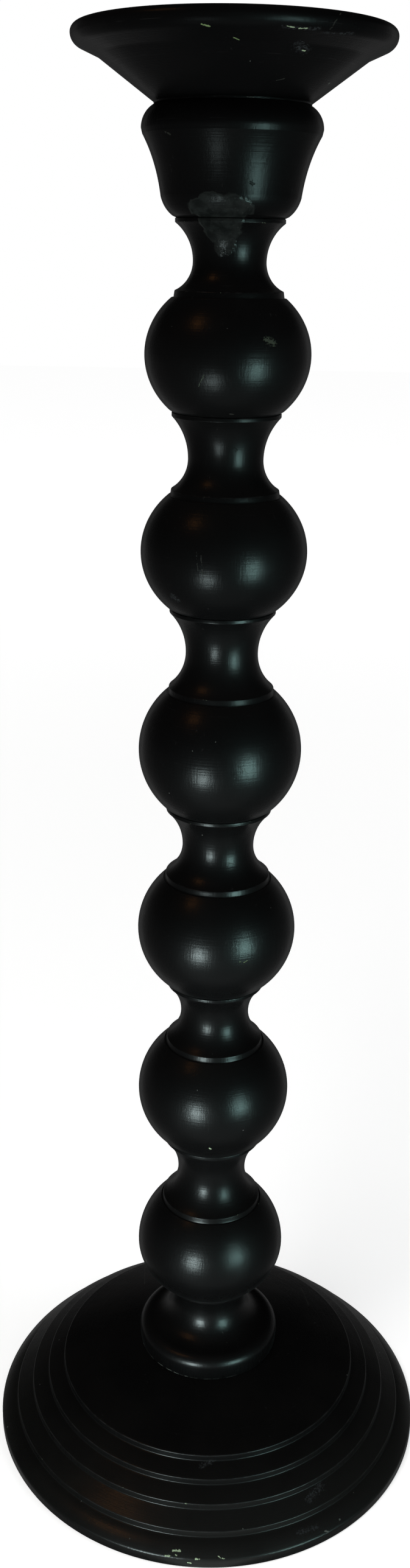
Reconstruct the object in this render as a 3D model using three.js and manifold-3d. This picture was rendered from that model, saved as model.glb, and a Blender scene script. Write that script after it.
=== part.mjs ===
// A turned wooden candle stand, painted satin black, built up from lathe-turned pieces on hidden dowels.
// Millimetres, +Z up. The origin is the centre of the felt's underside, where the stand meets the table.

import * as THREE from 'three';
import Module from 'manifold-3d';
import { mergeVertices } from 'three/addons/utils/BufferGeometryUtils.js';

// Gap left round every dowel, spigot, screw and pin
const fitGap = 0.3;

// Facets round each kind of piece
const discFacets = 40;
const stemFacets = 28;
const pinFacets = 12;

// Base disc: a straight outer edge, stepped rings, then a gently falling crown up to the foot
const baseRadius = 125;
const baseEdgeHeight = 5;
const baseEdgeRound = 0.6;
const ringRun = 9.55;
const ringRise = 3.6;
const ringRound = 0.8;
const crownFall = 10.6;
const crownBulge = 1.4;

// How far the tread outside each ring falls, from the outermost ring inward
const ringTreadFalls = [6.5, 5.6, 4.2, 3.8];

// Felt let into the underside of the base
const feltThickness = 2.5;
const feltProud = 0.4;
const feltMargin = 9;
const feltFit = 0.5;

// Screw that pulls the foot down on the base, in its counterbore above the felt
const screwRadius = 4;
const screwHeadRadius = 7.5;
const screwHeadHeight = 5.3;
const screwTipLength = 6;
const washerRadius = 12;
const washerThickness = 1.6;
const counterboreDepth = 9.5;
const counterboreFit = 2;

// Foot: a tall bead that draws in a little to its seat, a cove and a short neck, with a spigot below
const footRadius = 40.9;
const footSeatRadius = 40.3;
const footHeight = 44;
const footBandHeight = 7.8;
const footBeadRadius = 6.5;
const footNeckRadius = 20.4;
const footThroatHeight = 31;
const footShoulderRadius = 26.5;
const footSpigotRadius = 15;
const footSpigotLength = 12;
const footWeb = 4;

// Straight shoulder at each end of a neck; the one at its foot also laps down over the ball as a collar
const shoulderHeight = 1.9;
const collarLap = 1.1;

// Stem bobbins, each a ball with a coved neck above it. Each list runs from the base upward.
const ballRadii = [42.0, 42.0, 42.4, 42.1, 41.2, 39.5];
const ballHeights = [56.2, 60.8, 61.9, 63.1, 57.1, 53.2];
const neckRadii = [19.1, 18.6, 18.8, 18.3, 18.3, 17.1];
const neckHeights = [42.8, 37.2, 40.1, 42.7, 38.6, 33.5];

// Height of the widest place of each ball above its joint, and of the thinnest above the neck's foot
const widestHeights = [25.8, 29.9, 31.5, 31.2, 28.4, 26.3];
const throatHeights = [19.4, 17.5, 17.9, 19.7, 16.4, 14.8];

// Radius of the shoulders at the two ends of each neck
const shoulderRadii = [27.6, 26.3, 27.6, 26.7, 26.4, 25.5];

// Dowel glued across each joint of the stem
const dowelRadius = 6.5;
const dowelLength = 50;
const dowelChamfer = 1;
const dowelEndGap = 0.5;

// Candle cup: round corner below, flaring wall, lip and round shoulder under the pan
const cupHeight = 47.4;
const cupWaistRadius = 32.2;
const cupWaistHeight = 9;
const cupLipRadius = 41.2;
const cupLipHeight = 37.5;
const cupLipFace = 2.5;
const cupLipDraft = 0.6;
const cupShoulderRadius = 11;
const cupMouthRadius = 16;
const cupMouthDepth = 6;

// Where the two curves of the cup's side bend to, as radius and height above its underside
const cupFootBend = [30.6, 3];
const cupWallBend = [34.2, 23.6];

// Drip pan: a cone below, a heavy rolled rim and a shallow dish inside
const panHeight = 31.2;
const panSeatRadius = 35.5;
const panConeRadius = 60.9;
const panConeHeight = 18.9;
const panRimRadius = 72.4;
const panRimBead = 3.6;

// Lower side of the rim: its radius, and how many degrees it turns in before the roll beneath it
const panUnderRadius = 5.6;
const panUnderTurn = 61;

// Where the roll between the rim and the cone bends to, as radius and height above the cone's top
const panRollBend = [65, -0.1];
const panFloorRadius = 46;
const panFloorThickness = 15.6;

// Where the wall of the dish bends to, as radius and height above the floor
const panWallBend = [61, 2.5];

// Screws from the floor of the pan into the cup
const panScrewRadius = 2;
const panScrewHeadRadius = 4;
const panScrewLength = 33;
const panScrewCount = 2;
const panScrewCircle = 10;

// Metal plate under the candle, with its screws
const plateRadius = 34;
const plateThickness = 1.6;
const plateScrewRadius = 1.5;
const plateScrewHeadRadius = 2.8;
const plateScrewLength = 11;
const plateScrewCount = 3;
const plateScrewMargin = 10;

// Spike riveted through the plate, with its collar let in level with the plate
const spikeHeight = 21;
const spikeRadius = 2.6;
const spikeTipRadius = 0.4;
const spikeCollarRadius = 5;
const spikeCollarHeight = 0.8;
const rivetRadius = 2.2;
const rivetHeadRadius = 4;
const rivetHeadHeight = 1.2;

// Slot of a screw head
const slotWidth = 1;
const slotDepth = 0.8;

// Steps along the round stretches of the outlines
const crownSteps = 4;
const ballSteps = 10;
const neckSteps = 6;
const footSteps = 6;
const cupSteps = 5;
const rimSteps = 8;
const rollSteps = 3;
const dishSteps = 4;

// Heights of the joints, from the underside of the felt upward
const baseUnderside = feltProud;
const ringsHeight = ringTreadFalls.reduce((height, fall) => height + fall + ringRise, 0);
const ringTop = baseUnderside + baseEdgeHeight + ringsHeight;
const footSeat = ringTop + crownFall;
const stemSeat = footSeat + footHeight;
const bobbins = ballRadii.map((ballRadius, i) => ({
  ballRadius,
  ballHeight: ballHeights[i],
  neckRadius: neckRadii[i],
  neckHeight: neckHeights[i],
  widest: widestHeights[i],
  throat: throatHeights[i],
  shoulder: shoulderRadii[i],
}));
const bobbinLength = (bobbin) => bobbin.ballHeight + bobbin.neckHeight;
const cupSeat = bobbins.reduce((height, bobbin) => height + bobbinLength(bobbin), stemSeat);
const panSeat = cupSeat + cupHeight;
const panTop = panSeat + panHeight;
const panFloor = panSeat + panFloorThickness;
const plateTop = panFloor + plateThickness;
const collarSeat = plateTop - spikeCollarHeight;

// Sizes that follow from the ones above
const recessTop = feltThickness;
const recessRadius = baseRadius - feltMargin;
const counterboreTop = recessTop + counterboreDepth;
const counterboreRadius = washerRadius + counterboreFit;
const screwHoleRadius = screwRadius + fitGap;
const mortiseRadius = dowelRadius + fitGap;
const mortiseDepth = dowelLength / 2 + dowelEndGap;
const screwHoleTop = stemSeat - mortiseDepth - footWeb;
const plateScrewCircle = plateRadius - plateScrewMargin;

const wasm = await Module();
wasm.setup();

// One closed mesh: shared corners merged, and no triangle without area
function weld(geometry) {
  geometry.deleteAttribute('normal');
  geometry.deleteAttribute('uv');
  const welded = mergeVertices(geometry);
  const corners = welded.index.array;
  const kept = [];
  for (let i = 0; i < corners.length; i += 3) {
    const [a, b, c] = corners.slice(i, i + 3);
    if (a !== b && b !== c && c !== a) {
      kept.push(a, b, c);
    }
  }
  welded.setIndex(kept);
  return welded;
}

// Solid of revolution about Z: the outline runs up the outside, as [radius, height] pairs
function turn(outline, facets) {
  const points = outline.map(([radius, height]) => new THREE.Vector2(radius, height));
  return weld(new THREE.LatheGeometry(points, facets).rotateX(Math.PI / 2));
}

function solidOf(geometry) {
  const vertProperties = new Float32Array(geometry.attributes.position.array);
  const triVerts = new Uint32Array(geometry.index.array);
  return new wasm.Manifold(new wasm.Mesh({ numProp: 3, vertProperties, triVerts }));
}

function geometryOf(solid) {
  const mesh = solid.getMesh();
  const geometry = new THREE.BufferGeometry();
  geometry.setAttribute('position', new THREE.BufferAttribute(mesh.vertProperties, 3));
  geometry.setIndex(new THREE.BufferAttribute(mesh.triVerts, 1));
  return geometry;
}

function cut(geometry, cutters) {
  const rest = cutters.reduce((solid, cutter) => solid.subtract(solidOf(cutter)), solidOf(geometry));
  return geometryOf(rest);
}

// Points of an elliptical arc between two angles in degrees, both ends included
function arc(centre, radii, from, to, steps) {
  return Array.from({ length: steps + 1 }, (_, i) => {
    const angle = THREE.MathUtils.degToRad(from + (to - from) * i / steps);
    return [centre[0] + radii[0] * Math.cos(angle), centre[1] + radii[1] * Math.sin(angle)];
  });
}

// Points of a curve that leaves one end and meets the other along the lines to the bend
function curve(start, bend, end, steps) {
  const [a, b, c] = [start, bend, end].map((point) => new THREE.Vector2(...point));
  return new THREE.QuadraticBezierCurve(a, b, c).getPoints(steps).map((point) => [point.x, point.y]);
}

// Round cove between two shoulders of one radius, thinnest at its throat
function cove(shoulder, least, bottom, throat, top) {
  const inward = 180;
  const depth = shoulder - least;
  const side = (half, way) => {
    const radius = (depth * depth + half * half) / (2 * depth);
    const reach = THREE.MathUtils.radToDeg(Math.asin(Math.min(1, half / radius)));
    return arc([least + radius, throat], [radius, radius], inward, inward + way * reach, neckSteps / 2);
  };
  return [...side(throat - bottom, 1).reverse(), ...side(top - throat, -1).slice(1)];
}

// Side of a ball from the joint below it up to the collar above it. Its round would meet the neck's
// foot at the shoulder radius, but the collar laps down over its last stretch.
function ballSide(size, jointRadius, bottom) {
  const halfHeight = (reach, radius) => reach / Math.sqrt(1 - (radius / size.ballRadius) ** 2);
  const lower = halfHeight(size.widest, jointRadius);
  const upper = halfHeight(size.ballHeight - size.widest, size.shoulder);
  const centre = [0, bottom + size.widest];
  const from = -THREE.MathUtils.radToDeg(Math.asin(size.widest / lower));
  const to = THREE.MathUtils.radToDeg(Math.asin((size.ballHeight - collarLap - size.widest) / upper));
  return [
    ...arc(centre, [size.ballRadius, lower], from, 0, ballSteps / 2),
    ...arc(centre, [size.ballRadius, upper], 0, to, ballSteps / 2).slice(1),
  ];
}

// Blind hole for half a dowel, opening downward at a height
const mortiseBelow = (height) => [
  [0, height + mortiseDepth],
  [mortiseRadius, height + mortiseDepth],
  [mortiseRadius, height],
];

// Blind hole for half a dowel, opening upward at a height
const mortiseAbove = (height) => [
  [mortiseRadius, height],
  [mortiseRadius, height - mortiseDepth],
  [0, height - mortiseDepth],
];

// Neck of a bobbin from its collar upward: straight shoulder, cove, straight shoulder
function neckSide(size, bottom) {
  const top = bottom + size.neckHeight;
  const throat = bottom + size.throat;
  return [
    [size.shoulder, bottom - collarLap],
    ...cove(size.shoulder, size.neckRadius, bottom + shoulderHeight, throat, top - shoulderHeight),
    [size.shoulder, top],
  ];
}

function feltDisc() {
  const radius = recessRadius - feltFit;
  return turn([[0, 0], [radius, 0], [radius, feltThickness], [0, feltThickness]], discFacets);
}

// Outline of the rings from the edge inward: each riser with its rounded upper edge
function ringSteps() {
  let height = baseUnderside + baseEdgeHeight;
  return ringTreadFalls.flatMap((fall, ring) => {
    const radius = baseRadius - (ring + 1) * ringRun;
    const foot = height + fall;
    height = foot + ringRise;
    return [[radius, foot], [radius, height - ringRound], [radius - ringRound, height]];
  });
}

// Outline of the crown from the innermost ring up to the foot, raised a little between them
function crown() {
  const ringEdge = [baseRadius - ringTreadFalls.length * ringRun - ringRound, ringTop];
  const seatEdge = [footSeatRadius, footSeat];
  const bend = [(ringEdge[0] + seatEdge[0]) / 2, (ringEdge[1] + seatEdge[1]) / 2 + crownBulge];
  return curve(ringEdge, bend, seatEdge, crownSteps).slice(1);
}

function baseDisc() {
  const socketRadius = footSpigotRadius + fitGap;
  const socketFloor = footSeat - footSpigotLength - fitGap;
  const edgeTop = baseUnderside + baseEdgeHeight;
  return turn([
    [screwHoleRadius, counterboreTop],
    [counterboreRadius, counterboreTop],
    [counterboreRadius, recessTop],
    [recessRadius, recessTop],
    [recessRadius, baseUnderside],
    [baseRadius - baseEdgeRound, baseUnderside],
    [baseRadius, baseUnderside + baseEdgeRound],
    [baseRadius, edgeTop - baseEdgeRound],
    [baseRadius - baseEdgeRound, edgeTop],
    ...ringSteps(),
    ...crown(),
    [socketRadius, footSeat],
    [socketRadius, socketFloor],
    [screwHoleRadius, socketFloor],
    [screwHoleRadius, counterboreTop],
  ], discFacets);
}

function washer() {
  const underside = counterboreTop - washerThickness;
  return turn([
    [screwHoleRadius, underside],
    [washerRadius, underside],
    [washerRadius, counterboreTop],
    [screwHoleRadius, counterboreTop],
    [screwHoleRadius, underside],
  ], pinFacets);
}

// Hexagon-head screw, driven up through the base into the foot
function baseScrew() {
  const seat = counterboreTop - washerThickness;
  const tip = screwHoleTop - fitGap;
  const shank = turn([
    [0, seat - screwHeadHeight / 2],
    [screwRadius, seat - screwHeadHeight / 2],
    [screwRadius, tip - screwTipLength],
    [0, tip],
  ], pinFacets);
  const head = new THREE.CylinderGeometry(screwHeadRadius, screwHeadRadius, screwHeadHeight, 6);
  head.rotateX(Math.PI / 2).translate(0, 0, seat - screwHeadHeight / 2);
  return geometryOf(solidOf(weld(head)).add(solidOf(shank)));
}

// Foot: its bead stands on the base, and its spigot goes into the base
function foot() {
  const spigotEnd = footSeat - footSpigotLength;
  const beadCentre = [footRadius - footBeadRadius, footSeat + footBandHeight];
  const bandBend = [footRadius, footSeat + footBandHeight / 2];
  const throat = footSeat + footThroatHeight;
  const beadRadii = [footBeadRadius, footBeadRadius];
  const lowerRadii = [beadCentre[0] - footNeckRadius, throat - beadCentre[1] - footBeadRadius];
  const upperRadii = [footShoulderRadius - footNeckRadius, stemSeat - shoulderHeight - throat];
  return turn([
    [0, screwHoleTop],
    [screwHoleRadius, screwHoleTop],
    [screwHoleRadius, spigotEnd],
    [footSpigotRadius, spigotEnd],
    [footSpigotRadius, footSeat],
    ...curve([footSeatRadius, footSeat], bandBend, [footRadius, beadCentre[1]], footSteps / 2),
    ...arc(beadCentre, beadRadii, 0, 90, footSteps).slice(1),
    ...arc([beadCentre[0], throat], lowerRadii, 270, 180, footSteps).slice(1),
    ...arc([footShoulderRadius, throat], upperRadii, 180, 90, footSteps / 2).slice(1),
    [footShoulderRadius, stemSeat],
    ...mortiseAbove(stemSeat),
  ], stemFacets);
}

// One bobbin of the stem, standing on a joint whose radius is the shoulder of the piece below
function bobbin(size, jointRadius, bottom) {
  return turn([
    ...mortiseBelow(bottom),
    ...ballSide(size, jointRadius, bottom),
    ...neckSide(size, bottom + size.ballHeight),
    ...mortiseAbove(bottom + bobbinLength(size)),
  ], stemFacets);
}

function dowel(joint) {
  const half = dowelLength / 2;
  return turn([
    [0, joint - half],
    [dowelRadius - dowelChamfer, joint - half],
    [dowelRadius, joint - half + dowelChamfer],
    [dowelRadius, joint + half - dowelChamfer],
    [dowelRadius - dowelChamfer, joint + half],
    [0, joint + half],
  ], pinFacets);
}

// Countersunk screw with its head level with a height; grow widens it all round to cut its hole
function countersunkScrew(radius, headRadius, length, level, grow) {
  const countersink = headRadius - radius;
  const shank = radius + grow;
  const end = level - length - grow;
  return turn([
    [0, end],
    [shank, end + 2 * radius],
    [shank, level - countersink],
    [headRadius + grow, level],
    [headRadius + grow, level + grow],
    [0, level + grow],
  ], pinFacets);
}

// Copies of a geometry spaced evenly on a circle about Z
function onCircle(make, count, circle) {
  return Array.from({ length: count }, (_, i) => (
    make().translate(circle, 0, 0).rotateZ(2 * Math.PI * i / count)
  ));
}

function slottedScrew(radius, headRadius, length, level) {
  const slot = new THREE.BoxGeometry(3 * headRadius, slotWidth, 2 * slotDepth).translate(0, 0, level);
  return cut(countersunkScrew(radius, headRadius, length, level, 0), [weld(slot)]);
}

const panScrewHole = () => (
  countersunkScrew(panScrewRadius, panScrewHeadRadius, panScrewLength, panFloor, fitGap)
);
const plateScrewHole = () => (
  countersunkScrew(plateScrewRadius, plateScrewHeadRadius, plateScrewLength, plateTop, fitGap)
);
const panScrewHoles = () => onCircle(panScrewHole, panScrewCount, panScrewCircle);
const plateScrewHoles = () => onCircle(plateScrewHole, plateScrewCount, plateScrewCircle);

function candleCup(jointRadius) {
  const above = ([radius, height]) => [radius, cupSeat + height];
  const waist = [cupWaistRadius, cupWaistHeight];
  const lipBottom = [cupLipRadius - cupLipDraft, cupLipHeight - cupLipFace];
  const shoulderCentre = [cupLipRadius - cupShoulderRadius, cupLipHeight];
  const shoulderRadii = [cupShoulderRadius, cupShoulderRadius];
  const shoulderReach = Math.min(1, (cupHeight - cupLipHeight) / cupShoulderRadius);
  const shoulderEnd = THREE.MathUtils.radToDeg(Math.asin(shoulderReach));
  const mouthRadius = cupMouthRadius + fitGap;
  const mouthFloor = panSeat - cupMouthDepth - fitGap;
  const outline = [
    ...mortiseBelow(cupSeat),
    ...curve([jointRadius, 0], cupFootBend, waist, cupSteps).map(above),
    ...curve(waist, cupWallBend, lipBottom, cupSteps).slice(1).map(above),
    ...arc(shoulderCentre, shoulderRadii, 0, shoulderEnd, cupSteps).map(above),
    [mouthRadius, panSeat],
    [mouthRadius, mouthFloor],
    [0, mouthFloor],
  ];
  return cut(turn(outline, stemFacets), panScrewHoles());
}

function dripPan() {
  const spigotEnd = panSeat - cupMouthDepth;
  const beadCentre = [panRimRadius - panRimBead, panTop - panRimBead];
  const underCentre = [panRimRadius - panUnderRadius, beadCentre[1]];
  const under = arc(underCentre, [panUnderRadius, panUnderRadius], -panUnderTurn, 0, rollSteps);
  const coneTop = [panConeRadius, panSeat + panConeHeight];
  const rollBend = [panRollBend[0], coneTop[1] + panRollBend[1]];
  const wallBend = [panWallBend[0], panFloor + panWallBend[1]];
  const innerRim = [panRimRadius - 2 * panRimBead, beadCentre[1]];
  const rivetPocketRadius = rivetHeadRadius + fitGap;
  const rivetPocketFloor = panFloor - rivetHeadHeight - fitGap;
  const outline = [
    [0, spigotEnd],
    [cupMouthRadius, spigotEnd],
    [cupMouthRadius, panSeat],
    [panSeatRadius, panSeat],
    ...curve(coneTop, rollBend, under[0], rollSteps),
    ...under.slice(1),
    ...arc(beadCentre, [panRimBead, panRimBead], 0, 180, rimSteps).slice(1),
    ...curve(innerRim, wallBend, [panFloorRadius, panFloor], dishSteps).slice(1),
    [rivetPocketRadius, panFloor],
    [rivetPocketRadius, rivetPocketFloor],
    [0, rivetPocketFloor],
  ];
  return cut(turn(outline, discFacets), [...panScrewHoles(), ...plateScrewHoles()]);
}

// Plate with a shallow recess round its hole for the collar of the spike
function candlePlate() {
  const hole = rivetRadius + fitGap;
  const recess = spikeCollarRadius + fitGap;
  const disc = turn([
    [hole, panFloor],
    [plateRadius, panFloor],
    [plateRadius, plateTop],
    [recess, plateTop],
    [recess, collarSeat],
    [hole, collarSeat],
    [hole, panFloor],
  ], discFacets);
  return cut(disc, plateScrewHoles());
}

function pricketSpike() {
  return turn([
    [0, panFloor - rivetHeadHeight],
    [rivetHeadRadius, panFloor - rivetHeadHeight],
    [rivetHeadRadius, panFloor],
    [rivetRadius, panFloor],
    [rivetRadius, collarSeat],
    [spikeCollarRadius, collarSeat],
    [spikeCollarRadius, plateTop],
    [spikeRadius, plateTop],
    [spikeTipRadius, plateTop + spikeHeight],
    [0, plateTop + spikeHeight],
  ], pinFacets);
}

function panScrews() {
  const screw = () => slottedScrew(panScrewRadius, panScrewHeadRadius, panScrewLength, panFloor);
  return onCircle(screw, panScrewCount, panScrewCircle);
}

function plateScrews() {
  const screw = () => slottedScrew(plateScrewRadius, plateScrewHeadRadius, plateScrewLength, plateTop);
  return onCircle(screw, plateScrewCount, plateScrewCircle);
}

const paint = { color: 0x0c0c0d, roughness: 0.42, metalness: 0 };
const beech = { color: 0xc49a6c, roughness: 0.7, metalness: 0 };
const felt = { color: 0x1f3a2a, roughness: 1, metalness: 0 };
const zinc = { color: 0xb8bcc0, roughness: 0.4, metalness: 1 };
const blackIron = { color: 0x2a2a2b, roughness: 0.55, metalness: 1 };

const stand = new THREE.Group();

function add(name, geometry, finish) {
  const mesh = new THREE.Mesh(geometry, new THREE.MeshStandardMaterial(finish));
  mesh.name = name;
  stand.add(mesh);
}

add('base_felt', feltDisc(), felt);
add('base_disc', baseDisc(), paint);
add('base_washer', washer(), zinc);
add('base_screw', baseScrew(), zinc);
add('foot', foot(), paint);

// The stem, with a dowel across the joint under each bobbin and under the cup
let jointHeight = stemSeat;
let jointRadius = footShoulderRadius;
bobbins.forEach((size, i) => {
  add(`dowel_${i + 1}`, dowel(jointHeight), beech);
  add(`bobbin_${i + 1}`, bobbin(size, jointRadius, jointHeight), paint);
  jointHeight += bobbinLength(size);
  jointRadius = size.shoulder;
});
add(`dowel_${bobbins.length + 1}`, dowel(jointHeight), beech);

add('candle_cup', candleCup(jointRadius), paint);
add('drip_pan', dripPan(), paint);
panScrews().forEach((screw, i) => add(`pan_screw_${i + 1}`, screw, zinc));
add('candle_plate', candlePlate(), blackIron);
add('pricket_spike', pricketSpike(), blackIron);
plateScrews().forEach((screw, i) => add(`plate_screw_${i + 1}`, screw, blackIron));

export default stand;
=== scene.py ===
import math

import bpy
from mathutils import Matrix, Vector


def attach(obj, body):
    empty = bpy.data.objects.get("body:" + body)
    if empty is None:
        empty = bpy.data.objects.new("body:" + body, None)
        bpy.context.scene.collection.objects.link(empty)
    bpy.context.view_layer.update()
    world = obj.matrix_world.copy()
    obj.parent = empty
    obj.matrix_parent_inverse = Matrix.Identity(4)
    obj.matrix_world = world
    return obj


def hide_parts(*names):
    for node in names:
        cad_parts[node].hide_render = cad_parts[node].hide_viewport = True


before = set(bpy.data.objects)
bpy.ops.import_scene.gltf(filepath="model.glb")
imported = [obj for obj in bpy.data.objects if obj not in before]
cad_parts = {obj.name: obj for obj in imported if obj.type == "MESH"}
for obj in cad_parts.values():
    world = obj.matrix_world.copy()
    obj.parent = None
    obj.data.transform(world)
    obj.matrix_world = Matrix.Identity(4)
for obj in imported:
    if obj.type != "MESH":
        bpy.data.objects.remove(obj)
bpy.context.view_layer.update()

# A turned wooden candle stand, painted satin black and worn by use.
# Sizes are in millimetres, unless a comment says metres. Outlines are pairs of radius and height, and run
# up the outside of each piece.
MM = 0.001

# Sizes of the turnings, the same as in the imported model
BASE_RADIUS = 125.0
BASE_UNDERSIDE = 0.4
BASE_EDGE_HEIGHT = 5.0
RING_RUN = 9.55
RING_RISE = 3.6
RING_TREAD_FALLS = (6.5, 5.6, 4.2, 3.8)
CROWN_FALL = 10.6
CROWN_BULGE = 1.4
FELT_RADIUS = 115.5
FELT_THICKNESS = 2.5
FELT_RECESS_RADIUS = 116.0
FOOT_RADIUS = 40.9
FOOT_SEAT_RADIUS = 40.3
FOOT_HEIGHT = 44.0
FOOT_BAND_HEIGHT = 7.8
FOOT_BEAD_RADIUS = 6.5
FOOT_NECK_RADIUS = 20.4
FOOT_THROAT_HEIGHT = 31.0
FOOT_SHOULDER_RADIUS = 26.5
SHOULDER_HEIGHT = 1.9
COLLAR_LAP = 1.1
BOBBINS = (
    dict(ball=42.0, ball_height=56.2, widest=25.8, neck=19.1, neck_height=42.8, throat=19.4, shoulder=27.6),
    dict(ball=42.0, ball_height=60.8, widest=29.9, neck=18.6, neck_height=37.2, throat=17.5, shoulder=26.3),
    dict(ball=42.4, ball_height=61.9, widest=31.5, neck=18.8, neck_height=40.1, throat=17.9, shoulder=27.6),
    dict(ball=42.1, ball_height=63.1, widest=31.2, neck=18.3, neck_height=42.7, throat=19.7, shoulder=26.7),
    dict(ball=41.2, ball_height=57.1, widest=28.4, neck=18.3, neck_height=38.6, throat=16.4, shoulder=26.4),
    dict(ball=39.5, ball_height=53.2, widest=26.3, neck=17.1, neck_height=33.5, throat=14.8, shoulder=25.5),
)
CUP_HEIGHT = 47.4
CUP_WAIST = (32.2, 9.0)
CUP_FOOT_BEND = (30.6, 3.0)
CUP_WALL_BEND = (34.2, 23.6)
CUP_LIP_RADIUS = 41.2
CUP_LIP_HEIGHT = 37.5
CUP_LIP_FACE = 2.5
CUP_LIP_DRAFT = 0.6
CUP_SHOULDER_RADIUS = 11.0
PAN_HEIGHT = 31.2
PAN_SEAT_RADIUS = 35.5
PAN_LAND = 0.7
PAN_CONE_TOP = (60.9, 18.9)
PAN_RIM_RADIUS = 72.4
PAN_RIM_BEAD = 3.6
PAN_UNDER_RADIUS = 5.6
PAN_UNDER_TURN = 61.0
PAN_FLOOR_RADIUS = 46.0
PAN_FLOOR_THICKNESS = 15.6
PAN_WALL_BEND = (61.0, 2.5)
PLATE_THICKNESS = 1.6
SPIKE_HEIGHT = 21.0
SPIKE_RADIUS = 2.6
SPIKE_TIP_RADIUS = 0.4
SPIKE_COLLAR_RADIUS = 5.0
SPIKE_COLLAR_HEIGHT = 0.8

# Small rounds that catch the light on every arris, and fillets of paint in the corners
ARRIS_ROUND = 0.45
JOINT_ROUND = 0.55
LEDGE_ROUND = 0.3
COLLAR_LEAN = 0.5
RING_ROUND = 0.8
RING_FILLET = 1.0
BASE_EDGE_ROUND = 2.4

# Where the outermost tread bends as it rolls over to the edge: in from the edge, and up from it
BASE_ROLL = (3.4, 4.2)

# Radius from which the base's treads gather dust
DUSTY_FROM = 78.0

# Specular level of the paint on each turning, on the scale where common gloss paint has 0.5
BASE_GLOSS = 0.0105
FOOT_GLOSS = 0.010
BOBBIN_GLOSS = (0.0057, 0.0053, 0.0060, 0.0056, 0.0043, 0.0052)
CUP_GLOSS = 0.004
PAN_GLOSS = 0.0031

# Faces round each turning
BASE_SEGMENTS = 256
PAN_SEGMENTS = 224
STEM_SEGMENTS = 160
SPIKE_SEGMENTS = 48

# Heights that follow from the sizes
RING_TOP = BASE_UNDERSIDE + BASE_EDGE_HEIGHT + sum(RING_TREAD_FALLS) + len(RING_TREAD_FALLS) * RING_RISE
FOOT_SEAT = RING_TOP + CROWN_FALL
STEM_SEAT = FOOT_SEAT + FOOT_HEIGHT
CUP_SEAT = STEM_SEAT + sum(b["ball_height"] + b["neck_height"] for b in BOBBINS)
PAN_SEAT = CUP_SEAT + CUP_HEIGHT
PAN_TOP = PAN_SEAT + PAN_HEIGHT
PAN_FLOOR = PAN_SEAT + PAN_FLOOR_THICKNESS
PLATE_TOP = PAN_FLOOR + PLATE_THICKNESS

# Wear on each piece, and a few painted glints, which are the specks: kind, then azimuth in degrees and
# height in millimetres where the mark starts and ends, then its width. Azimuth 0 faces the camera and grows
# to the right.
BASE_WEAR = (
    ("chip", (-8.4, 8.0), (-6.6, 8.2), 1.2),
    ("chip", (-10.2, 6.0), (-9.0, 6.1), 1.0),
    ("chip", (-7.6, 6.9), (-7.3, 6.6), 0.6),
    ("chip", (-2.6, 5.9), (-1.7, 6.0), 1.0),
    ("chip", (3.1, 7.0), (3.6, 6.5), 0.7),
    ("chip", (4.2, 6.3), (4.6, 6.1), 0.6),
    ("chip", (-4.4, 3.6), (-3.6, 3.3), 0.7),
    ("nick", (-37, 11.6), (-37, 11.6), 0.9),
    ("nick", (70, 13.4), (70, 13.4), 1.2),
    ("nick", (37, 7.6), (37, 7.6), 1.4),
    ("nick", (32, 6.4), (32.4, 6.0), 1.2),
    ("nick", (-74, 7.0), (-74, 7.0), 1.1),
    ("nick", (-20, 8.6), (-20, 8.6), 0.7),
    ("nick", (10, 15.8), (10, 15.8), 0.7),
    ("pit", (-15.6, 2.4), (-14.2, 1.6), 2.2),
    ("scuff", (31, 18.4), (36, 20.0), 4.5),
    ("scuff", (-2, 35.2), (2, 36.4), 2.6),
    ("scuff", (25, 9.4), (30, 9.0), 3.0),
    ("scratch", (118, 44.0), (131, 42.0), 0.5),
    ("scratch", (-140, 46.0), (-150, 41.0), 0.5),
    ("chip", (171, 6.1), (173, 5.9), 1.2),
)
FOOT_WEAR = (
    ("nick", (-74, 51.4), (-69, 51.3), 0.7),
    ("scratch", (-66, 51.3), (-58, 51.2), 0.6),
    ("nick", (-56, 51.2), (-53, 51.3), 0.6),
    ("nick", (-46, 51.3), (-41, 51.2), 0.7),
    ("nick", (-37, 51.2), (-32, 51.4), 0.9),
    ("nick", (-29, 51.2), (-25, 51.2), 0.7),
    ("scratch", (-23, 51.2), (-9, 51.1), 0.6),
    ("nick", (-19, 51.2), (-17, 51.1), 0.7),
    ("scratch", (-3, 51.2), (9, 51.2), 0.5),
    ("scratch", (16, 51.2), (24, 51.3), 0.5),
    ("scratch", (20, 70), (22, 66), 0.4),
)
BOBBIN_WEAR = (
    (("nick", (-62, 118), (-61, 117), 0.7), ("scratch", (34, 109), (38, 104), 0.4)),
    (("chip", (-2.8, 206.9), (-1.4, 206.3), 1.3), ("scratch", (150, 230), (158, 221), 0.4)),
    (
        ("scratch", (17, 368.0), (27, 366.9), 0.4),
        # Two specks: painted glints, small bright yellow-green spots at the foot of the ball's right-hand
        # highlight
        ("speck", (16.5, 322.0), (17.7, 322.2), 0.35),
        ("speck", (19.4, 321.2), (22.6, 322.3), 0.35),
        ("nick", (52, 344.5), (52, 344.5), 0.5),
    ),
    (
        ("nick", (-4, 441.2), (-4, 441.2), 0.7),
        ("nick", (-20, 436.1), (-20, 436.1), 0.7),
        ("nick", (16, 427.5), (16, 427.5), 0.7),
    ),
    (
        ("pit", (12, 580.2), (14, 579.6), 1.4),
        ("scratch", (-19.0, 534.7), (-17.6, 526.3), 0.6),
        ("scratch", (-15.8, 533.2), (-14.4, 525.1), 0.6),
        ("scuff", (-42, 511.2), (-38, 509.6), 3.4),
    ),
    (
        ("dull", (26.0, 630.6), (31.6, 629.1), 2.9),
        ("dull", (-16.4, 615.0), (-20.8, 609.9), 0.6),
        ("scratch", (2.4, 597.4), (5.4, 597.0), 0.8),
    ),
)
CUP_WEAR = (
    ("scratch", (-47, 715.8), (-43.5, 714.8), 0.9),
    ("pit", (14.2, 695.8), (16.2, 695.3), 1.5),
    ("nick", (96, 707), (97, 706), 0.8),
)
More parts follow.
